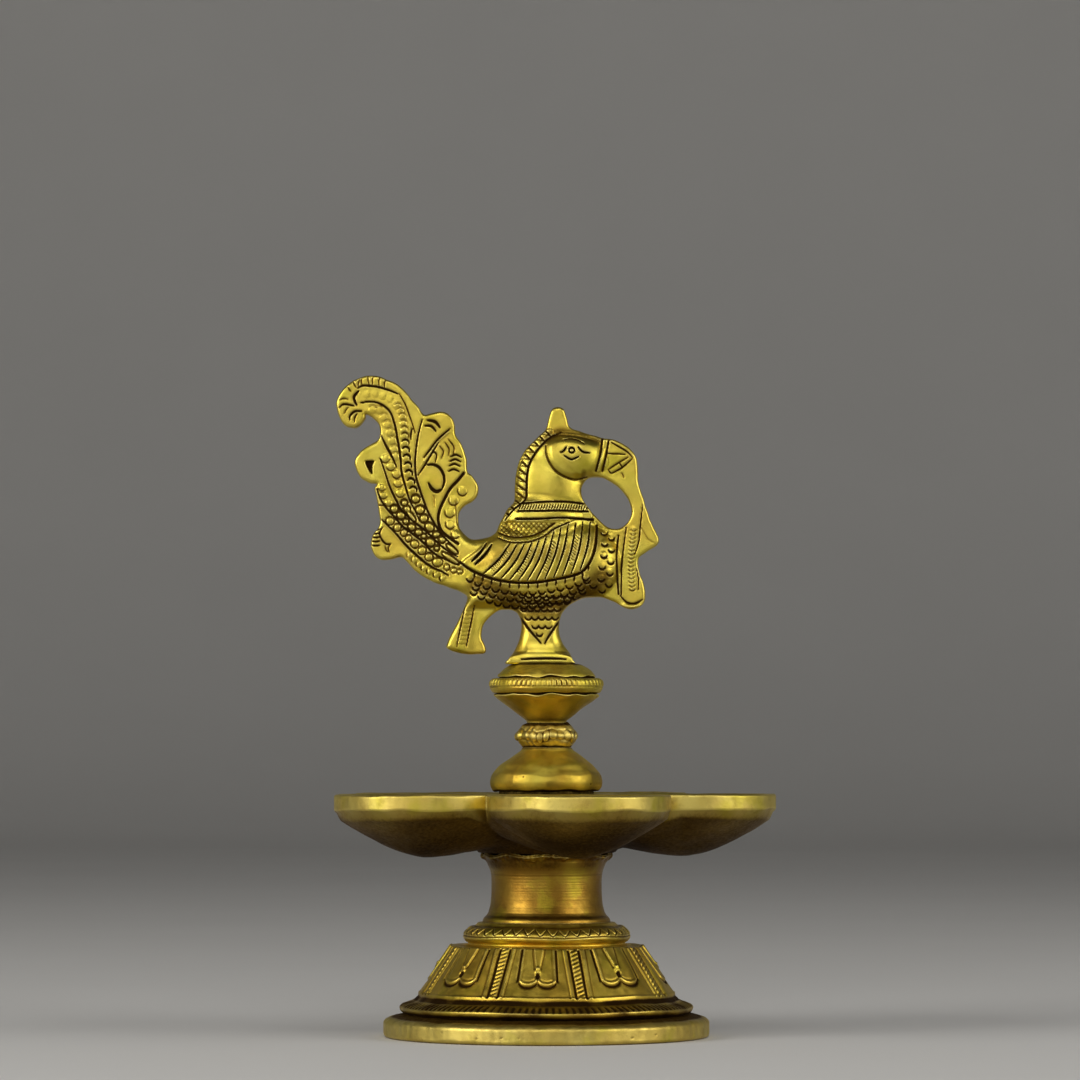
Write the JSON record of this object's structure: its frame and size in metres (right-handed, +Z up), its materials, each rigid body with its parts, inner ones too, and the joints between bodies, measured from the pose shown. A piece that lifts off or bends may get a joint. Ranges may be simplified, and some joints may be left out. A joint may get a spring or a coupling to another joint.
{
  "type": "standing oil lamp",
  "caption": "Low brass standing oil lamp: engraved pedestal, lobed tray of scooped oil wells and a screw-on finial with a flat engraved peacock.",
  "frame": {"origin": "centre of the foot ring's underside, on the lamp's axis", "axes": "+Z up along the lamp's axis, -Y to the front, +X the way the peacock looks"},
  "size_m": [0.1014, 0.1026, 0.1524],
  "materials": {
    "cast_brass": "polished and filed, dark in the grooves",
    "engraved_brass": "cast relief, brown residue in the recesses, rubbed bright on the edges",
    "turned_brass": "redder brass with fine lathe lines",
    "tray_brass": "cast skin underneath, rim filed bright",
    "dull_brass": "dull, unpolished",
    "peacock_brass": "polished, hand engraved, black patina in the lines"
  },
  "bodies": {
    "pedestal": {"foot_ring": "cast_brass", "pedestal_bell": "engraved_brass", "pedestal_neck": "turned_brass"},
    "tray": {"oil_tray": "tray_brass"},
    "washer": {"hub_washer": "dull_brass"},
    "finial": {"tie_stud": "dull_brass", "finial_bell": "cast_brass", "beaded_knop": "cast_brass", "beaded_disc": "cast_brass", "peacock": "peacock_brass"}
  },
  "joints": [
    {"name": "tray_turn", "type": "hinge", "parent": "pedestal", "child": "tray", "pos_m": [0, 0, 0.0423], "axis": [0, 0, 1], "continuous": true},
    {"name": "finial_rise", "type": "slide", "parent": "pedestal", "child": "washer", "axis": [0, 0, 1], "range_m": [0, 0.01]},
    {"name": "finial_turn", "type": "hinge", "parent": "washer", "child": "finial", "pos_m": [0, 0, 0.0564], "axis": [0, 0, 1], "range_deg": [0, 3600]}
  ],
  "couplings": [
    {"joint": "finial_rise", "follows": "finial_turn", "m_per_rad": 0.000159}
  ]
}
